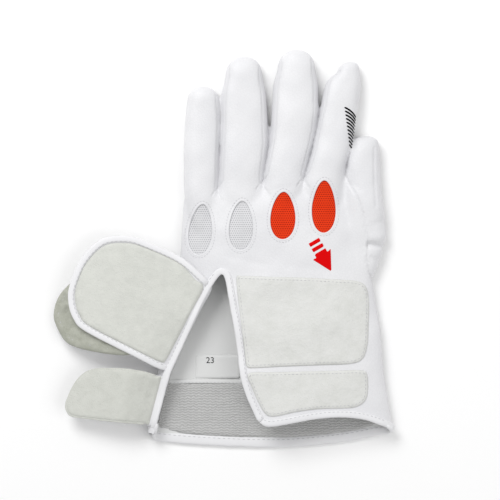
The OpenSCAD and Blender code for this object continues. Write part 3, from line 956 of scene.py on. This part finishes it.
def stitchRows(name, rows, body):
    # rows is a list of (path, directions, closed)
    points, edges, ups = [], [], []
    for path, ways, closed in rows:
        start = len(points)
        points += (np.asarray(path) * mm).tolist()
        ups += np.asarray(ways).tolist()
        edges += [(start + k, start + k + 1) for k in range(len(path) - 1)]
        if closed:
            edges.append((start + len(path) - 1, start))
    mesh = bpy.data.meshes.new(name)
    mesh.from_pydata(points, edges, [])
    upData = mesh.attributes.new("up", "FLOAT_VECTOR", "POINT").data
    upData.foreach_set("vector", np.ravel(ups).astype(np.float32))
    obj = shown(name, mesh)
    modifier = obj.modifiers.new("stitches", "NODES")
    modifier.node_group = rowTree
    values = dict(zip(("Spacing", "Length", "Width"), [size * mm for size in stitches[name]]))
    values["Thread"] = paints["thread"]
    for item in rowTree.interface.items_tree:
        if item.in_out == "INPUT" and item.name in values:
            modifier[item.identifier] = values[item.name]
    baked = bpy.data.meshes.new_from_object(obj.evaluated_get(bpy.context.evaluated_depsgraph_get()))
    obj.modifiers.clear()
    obj.data = baked
    return dress(obj, body)


def rowOn(path, ground, lift, closed=False):
    spots, ways = ground(path)
    return spots + ways * lift, ways, closed


def ovalPath(cx, cy, w, l, lean, grow=0.0, spacing=1.0):
    t = np.linspace(0, 2 * math.pi, int(80 / spacing), endpoint=False)
    x, y = np.cos(t) * (w / 2 + grow) * (1 - windowEgg * np.sin(t)), np.sin(t) * (l / 2 + grow)
    x, y = rotated(x, y, -math.radians(lean))
    return np.stack([cx + x, cy + y], 1)


rows = []
for name, oval in windows.items():
    slotName = "red_mesh" if name in ("middle", "index") else "white_mesh"
    cut = ovalPath(*oval, 2.2, 2.0)
    insert = layer(f"mesh_{name}", cut, onSkin, -1.9, -0.75, slotName, 0.8, 3.0, 0.05, 3)
    dress(insert, "hand", [f"mesh_{name}"])
    rim, ways = onSkin(ovalPath(*oval, 0.35))
    rimTape = tape(f"windowRim_{name}", rim - ways * 0.35, ways, 1.3, 0.95, "white_leather", True, 12)
    dress(rimTape, "hand")
    rows.append(rowOn(ovalPath(*oval, 1.7), onSkin, 0.08, True))
stitchRows("windowStitches", rows, "hand")
print("windows set")

# loop patches, prints
patches = {
    "upper_loop_patch": [
        (8.4, -17), (12, -16), (30, -16.6), (48, -17), (66, -18), (80, -19), (86, -22), (88.2, -30),
        (88, -45), (87.2, -58), (84, -66.4), (76, -69), (60, -69.6), (48, -70), (30, -70.8), (17, -71.4),
        (14.4, -70), (13.4, -62), (11.6, -48), (9.6, -32),
    ],
    "lower_loop_patch": [
        (15, -76), (17.6, -74), (30, -73.8), (50, -73.4), (70, -73), (82, -72.8), (86.8, -74.6),
        (87.6, -84), (86, -91), (80, -95), (70, -95.8), (58, -96), (44, -97.8), (34, -100),
        (28.4, -100.4), (25, -98), (21, -91), (17.6, -83),
    ],
}
rows = []
for name, outline in patches.items():
    patch = layer(name, outline, onSkin, 0.02, 0.8, "loop_pile", 1.1, 2.8, 0.07, 7)
    dress(patch, "hand", [name])
    rows.append(rowOn(drawnIn(outline, 1.6), onSkin, 0.74, True))
stitchRows("patchStitches", rows, "hand")


arrowPrint = {"at": (54.9, 5.2), "turn": -60, "parts": [
    [(0.0, -3.6), (2.3, -3.6), (2.3, 3.6), (0.0, 3.6)],
    [(3.7, -3.7), (6.0, -3.7), (6.0, 3.7), (3.7, 3.7)],
    [(7.4, -3.8), (9.9, -3.8), (9.3, -6.4), (21.4, 0), (9.3, 6.4), (9.9, 3.8), (7.4, 3.8)],
]}  # two bars and a barbed head, pointing down towards the wrist at a slant


def arrowOutlines():
    for part in arrowPrint["parts"]:
        turned = rotated(*np.array(part).T, math.radians(arrowPrint["turn"]))
        yield np.stack(turned, 1) + arrowPrint["at"]


def sharp(outline, spacing=0.6):
    # straight sides kept straight by many points between the corners
    p = np.array(outline, float)
    out = []
    for a, b in zip(p, np.roll(p, -1, 0)):
        n = max(int(np.linalg.norm(b - a) / spacing), 1)
        out += [a + (b - a) * k / n for k in range(n)]
    return np.array(out)


def joined(name, parts):
    for p in parts:
        p.select_set(True)
    bpy.context.view_layer.objects.active = parts[0]
    with bpy.context.temp_override(active_object=parts[0], selected_editable_objects=parts):
        bpy.ops.object.join()
    parts[0].name = parts[0].data.name = name
    parts[0].select_set(False)
    return parts[0]


arrow = joined("arrow_print", [layer(f"arrowPart{k}", sharp(o), onSkin, 0.02, 0.14, "red_print", 0.5, 0.2)
                               for k, o in enumerate(arrowOutlines())])
dress(arrow, "hand", ["arrow_print"])
print("patches and prints laid")


# striped print on the index finger
stripes = {"count": 11, "width": 1.08, "lift": 0.18}


def stripePath(k):
    t = k / (stripes["count"] - 1)
    left = np.array([73.5 + 3.0 * t, 85.7 - 22.4 * t])
    right = np.array([80.6 - 2.7 * t ** 1.5, 79.9 - 18.6 * t])
    knee = np.array([left[0] * 0.36 + right[0] * 0.64, left[1] * 0.68 + right[1] * 0.32])
    u = np.linspace(0, 1, 12)[:, None]
    return left * (1 - u) ** 2 + knee * 2 * u * (1 - u) + right * u ** 2


parts = []
for k in range(stripes["count"]):
    spots, ways = onSkin(stripePath(k))
    parts.append(tape(f"stripe{k}", spots + ways * stripes["lift"] / 2, ways, stripes["width"],
                      stripes["lift"] * 1.6, "black_print", sides=8))
stripePrint = joined("index_print", parts)
dress(stripePrint, None, ["index_print"])
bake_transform(stripePrint)

# inside the cuff
knit = [
    (-37.4, -82), (-20, -81.6), (0, -81.4), (30, -81.2), (60, -81), (92, -81), (96.4, -95), (98.4, -104),
    (88, -108.4), (77, -111), (58, -113.2), (38.6, -114.6), (20, -114.6), (0, -114), (-19, -112.8),
    (-34, -110), (-41, -106),
]
knitPanel = layer("knit_panel", knit, insideFloor, -0.35, 1.35, "knit_elastic", 1.3, 1.5, 0.1, 5)
dress(knitPanel, "hand", ["knit_panel"])
seamY = -80.6 + 0.35 * np.sin(np.linspace(0, 9, 90))
seamLine = np.stack([np.linspace(-36.2, 93, 90), seamY, np.full(90, 1.9)], 1)
seamUp = np.tile((0.0, 0.0, 1.0), (90, 1))
dress(tape("liningSeam", seamLine, seamUp, 2.6, 1.3, "lining"), "hand")
stitchRows("liningStitches", [(seamLine + (0, -0.6, 0.6), seamUp, False)], "hand")

labelShape = sharp([(-17, -78.6), (11, -78.6), (11, -64), (-17, -64)], 2)
label = layer("size_label", labelShape, insideFloor, -0.1, 0.4, "printed_label", 1.2, 0.5)
dress(label, "hand", ["size_label"])


sizeFigures = {"text": "23", "size": 0.0052, "depth": 0.00004, "at": (-7.7, -69.2, 1.68)}


def sizeMark():
    # the glove's size number
    text = bpy.data.curves.new("sizeMark", "FONT")
    text.body, text.size, text.extrude = sizeFigures["text"], sizeFigures["size"], sizeFigures["depth"]
    text.align_x = "CENTER"
    holder = bpy.data.objects.new("sizeMark", text)
    mesh = bpy.data.meshes.new_from_object(holder)
    bpy.data.objects.remove(holder)
    figures = bmesh.new()
    figures.from_mesh(mesh)
    bmesh.ops.remove_doubles(figures, verts=figures.verts, dist=0.000001)
    bmesh.ops.translate(figures, verts=figures.verts, vec=Vector(sizeFigures["at"]) * mm)
    figures.to_mesh(mesh)
    figures.free()
    mesh.materials.clear()
    mesh.materials.append(paints["black_print"])
    dress(shown("sizeMark", mesh), "hand")


sizeMark()
print("inside of the cuff made")

# bound edges
binding = {
    "width": 4.2, "thick": 2.4, "widens": 1.3,  # how much wider it gets towards the left hem
    "turnFrom": -103.5, "turnOver": 6, "turnDrop": 4.5,  # how its left end folds down over the hem
    "hemWidth": 6.2, "hemEndWidth": 4.6, "hemThick": 2.3, "hemIn": 1.5,
}
edge = smoothPath(slitEdge, 1.2)
onLeft = edge[:, 0] < 0
spots, ways = onSkin(offsetPath(edge, binding["width"] / 2 - 0.25))
for _ in range(4):
    ways = unit(np.vstack([ways[:1], (ways[:-2] + ways[1:-1] * 2 + ways[2:]) / 4, ways[-1:]]))
spots[1:-1, 2] = (spots[:-2, 2] + spots[1:-1, 2] + spots[2:, 2]) / 3
spots += ways * 0.05
widened = np.clip((-66 - edge[:, 1]) / 26, 0, 1) * onLeft * binding["widens"]
bindingWidth = binding["width"] + widened
spots = spots + (offsetPath(spots, 1.0) - spots) * (widened / 2)[:, None]
apex = np.argmin(np.linalg.norm(spots[:, :2] - slitApex, axis=1))
corner = np.argmin(np.linalg.norm(spots[:, :2] - flapCorner, axis=1))
turnDown = np.clip((binding["turnFrom"] - spots[:, 1]) / binding["turnOver"], 0, 1) * onLeft
spots[:, 2] -= turnDown ** 2 * binding["turnDrop"]
ways = unit(ways + np.outer(turnDown ** 1.5, (-0.5, -0.9, 0)))
slitRuns = {"slit_binding": slice(0, corner + 1), "cuff_binding": slice(corner, None)}
for name, run in slitRuns.items():
    piece = tape(name, spots[run], ways[run], bindingWidth[run], binding["thick"], "edge_tape", ripple=0.02)
    dress(piece, "hand", [name])
rowSpots, rowWays, closed = rowOn(offsetPath(edge, binding["width"] - 1.15), onSkin, 1.18)
runs = [slice(4, apex - 3), slice(apex + 3, -7)]
stitchRows("slitStitches", [(rowSpots[run], rowWays[run], False) for run in runs], "hand")

hemSpots = smoothPath([
    (-39.8, -105, 10.2), (-41, -108.8, 8.2), (-42.3, -111.8, 5.4), (-41.6, -113.9, 2.9), (-38, -115.2, 1.4),
    (-30, -116.2, 1.12), (-19.8, -117, 1.12), (0, -118.2, 1.12), (20, -118.8, 1.12), (39, -118.8, 1.12),
    (60, -117.2, 1.12), (78, -114.8, 1.12), (88, -112.9, 1.15), (95.5, -111.2, 1.6), (100.6, -110.2, 3.2),
    (102.6, -108.9, 5.6), (101.6, -107.3, 8), (98.6, -105.6, 9.9),
], 1.2)
side = np.where(hemSpots[:, 0] < 30, 1, -1)
turnUp = np.clip((hemSpots[:, 2] - 1.2) / 3.4, 0, 1)
hemWays = unit(np.stack([side * turnUp, np.zeros(len(hemSpots)), 1.02 - turnUp], 1))
ends = np.clip(np.minimum(np.arange(len(hemSpots)), np.arange(len(hemSpots))[::-1]) / 16, 0, 1)
hemWidth = binding["hemEndWidth"] + (binding["hemWidth"] - binding["hemEndWidth"]) * eased(ends)
inward = offsetPath(hemSpots, 1.0)
hemSpots = hemSpots + (inward - hemSpots) * (ends * binding["hemIn"])[:, None]
hem = tape("palm_binding", hemSpots, hemWays, hemWidth, binding["hemThick"], "edge_tape", ripple=0.05)
dress(hem, "hand", ["palm_binding"])
flat = slice(8, -12)
stitchRows("hemStitches", [(offsetPath(hemSpots, 1.7)[flat] + hemWays[flat] * 1.12, hemWays[flat], False)],
           "hand")
print("edges bound")

# tabs lying open
# "bend" is where a tab's cloth starts and stops bending, along the tab's own x axis
upperTab = {
    "at": (-6.5, -20.4), "turn": -27, "droop": 4, "height": 16.4, "lift": 0.0, "wave": 0.35, "root": 22,
    "seed": 11, "sewnAt": -0.5, "bodies": ("hand", "upper_tab"), "bend": (-0.5, -7.5),
}
secondTab = {
    **upperTab, "droop": 9, "lift": -0.353, "wave": 0.6, "seed": 14,
    "bodies": ("upper_tab", "second_tab"), "bend": (-29.0, -39.0),
}
lowerTab = {
    "at": (-38, -75.6), "turn": -15, "droop": 9, "height": 16.4, "lift": 0.0, "wave": 0.45, "root": 20,
    "seed": 17, "sewnAt": 4.5, "bodies": ("hand", "lower_strap"), "bend": (-0.5, -7.5),
}

upperShape = [
    (1.2, -2), (-6, 1), (-23, 5.2), (-45, 4.4), (-58, 2), (-71, -6.6), (-76.6, -22), (-76, -38.6),
    (-72.4, -48.6), (-64.8, -56.6), (-54.6, -60.2), (-20, -60.2), (-4, -60), (1.2, -59), (1.4, -45),
    (1.4, -30), (1.4, -15),
]
upperRim = [(-1, -1.4)] + upperShape[1:12] + [(-8, -60.4), (-0.4, -59.6)]
upperFacing = [
    (-3.3, -4.6), (-10, -2.4), (-23, 1.8), (-45, 0.8), (-56.4, -1.6), (-67.8, -9), (-73, -23), (-72.4, -37.6),
    (-69, -46.6), (-62.6, -53.4), (-53.6, -56.6), (-20, -56.6), (-6, -56.4), (-3.6, -54.6),
    (-3.2, -40), (-3.2, -20),
]
secondShape = [
    (-35, -14), (-42, -10), (-58, -14), (-68, -24), (-77, -38), (-80.4, -50), (-78, -61), (-71.6, -67.4),
    (-63, -72), (-54, -71.6), (-44, -69), (-34, -65.6), (-26, -61.8), (-22, -56), (-26, -30),
]
secondBack = [(-9, -9), (-24, -9)] + secondShape[1:-1] + [(-18, -52), (-9.4, -50), (-9, -30)]
lowerShape = [
    (3, -1.6), (-2, -1), (-13, -0.8), (-28, -3.6), (-40, -7.4), (-46.4, -13.4), (-50, -22.6), (-50.8, -32),
    (-48.6, -36.6), (-44.4, -38.2), (-29, -36), (-11, -33), (-1, -31.4), (3.4, -31), (3.8, -16),
]


def bendWith(tab, piece, node=None):
    # the piece stands for the node named, and its place is baked into its mesh
    dress(piece, None, [node] if node else ())
    start, end = [tabPlace(tab, x) for x in tab["bend"]]
    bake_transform(piece)
    return piece


def tabLayer(tab, ground, name, outline, low, high, paintName, *finish, slotName=None):
    piece = layer(name, outline, ground, low, high, paintName, *finish)
    return bendWith(tab, piece, name)


ground = tabGround(upperTab)
tabLayer(upperTab, ground, "upper_tab_leather", upperShape, 0.0, 1.0, "white_leather")
facing = tabLayer(upperTab, ground, "upper_tab_hook", upperFacing, 0.9, 1.95, "hook_facing",
                  1.1, 1.2, 0.06, 21)
rim = smoothPath(upperRim, 1.3)
rimSpots, rimWays = ground(offsetPath(rim, 1.55))
fromEnd = np.clip(np.minimum(np.arange(len(rim)), np.arange(len(rim))[::-1]) / 5, 0, 1)
rimSpots = rimSpots + rimWays * (0.95 - 1.1 * (1 - fromEnd) ** 2)[:, None]
piece = tape("upper_tab_binding", rimSpots, rimWays, 3.8, 2.5, "edge_tape", ripple=0.02)
bendWith(upperTab, piece, "upper_tab_binding")
row = rowOn(offsetPath(rim, 2.9)[3:-3], ground, 1.95)
bendWith(upperTab, stitchRows("upperTabStitches", [row], None))

ground = tabGround(secondTab, ground)
# the pad wears the darker pile, a painted shade for the shadow the upper tab casts on it
pad = tabLayer(secondTab, ground, "second_tab_pad", secondShape, 0.6, 3.0, "loop_shade", 1.2, 5.0, 0.25, 31)
tabLayer(secondTab, ground, "second_tab_lining", secondBack, 0.0, 0.65, "white_leather")
row = rowOn(drawnIn(secondShape, 3.4), ground, 2.72, True)
bendWith(secondTab, stitchRows("secondTabStitches", [row], None))

ground = tabGround(lowerTab)
tabLayer(lowerTab, ground, "lower_strap_leather", lowerShape, 0.0, 1.0, "white_leather")
lowerFacing = drawnIn(lowerShape, 0.3)
lowerFacing = sharp(lowerFacing[lowerFacing[:, 0] < 2], 2)
facing = tabLayer(lowerTab, ground, "lower_strap_hook", lowerFacing, 0.6, 2.0, "strap_facing",
                  1.1, 2.4, 0.08, 41, slotName="hook_facing")
rimSpots, rimWays = ground(offsetPath(smoothPath(lowerShape[1:-2], 1.2), 0.5))
piece = tape("lower_strap_binding", rimSpots + rimWays * 0.65, rimWays, 1.7, 1.5, "strap_facing", ripple=0.12)
bendWith(lowerTab, piece, "lower_strap_binding")
print("tabs laid open")


# floor, light and camera
def addFloor():
    paint = Paint("paleFloor")
    grain = paint.noise(90.0, 3.0)
    paint.finish((0.97, 0.97, 0.97), grain * 0.06 + 0.6)
    mesh = bpy.data.meshes.new("floor")
    r = 1.6
    mesh.from_pydata([(-r, -r, 0), (r, -r, 0), (r, r, 0), (-r, r, 0)], [], [(0, 1, 2, 3)])
    mesh.materials.append(paint.material)
    floor = shown("floor", mesh)
    floor.location.z = -0.0002


def addLight(name, place, size, power, aim=(0.01, 0, 0)):
    data = bpy.data.lights.new(name, "AREA")
    data.shape = "RECTANGLE"
    data.size, data.size_y = size
    data.energy = power
    lamp = shown(name, data)
    lamp.location = place
    lamp.rotation_euler = (Vector(aim) - Vector(place)).to_track_quat("-Z", "Y").to_euler()


def addCamera():
    data = bpy.data.cameras.new("overhead")
    data.lens, data.sensor_width = 156.0, 36.0
    data.clip_start = 0.05
    camera = shown("overhead", data)
    camera.location = (0.0165, -0.0004, 1.32)
    bpy.context.scene.camera = camera


addFloor()
world = bpy.data.worlds.new("studio")
world.use_nodes = True
world.node_tree.nodes["Background"].inputs["Color"].default_value = (1.0, 1.0, 1.0, 1.0)
world.node_tree.nodes["Background"].inputs["Strength"].default_value = 0.55
bpy.context.scene.world = world
bpy.context.scene.view_settings.view_transform = "Standard"
addLight("key", (-0.45, 0.75, 0.85), (0.7, 0.5), 9.0)
addLight("fill", (0.8, -0.35, 0.9), (0.9, 0.9), 3.5)
addCamera()
print("stage ready")
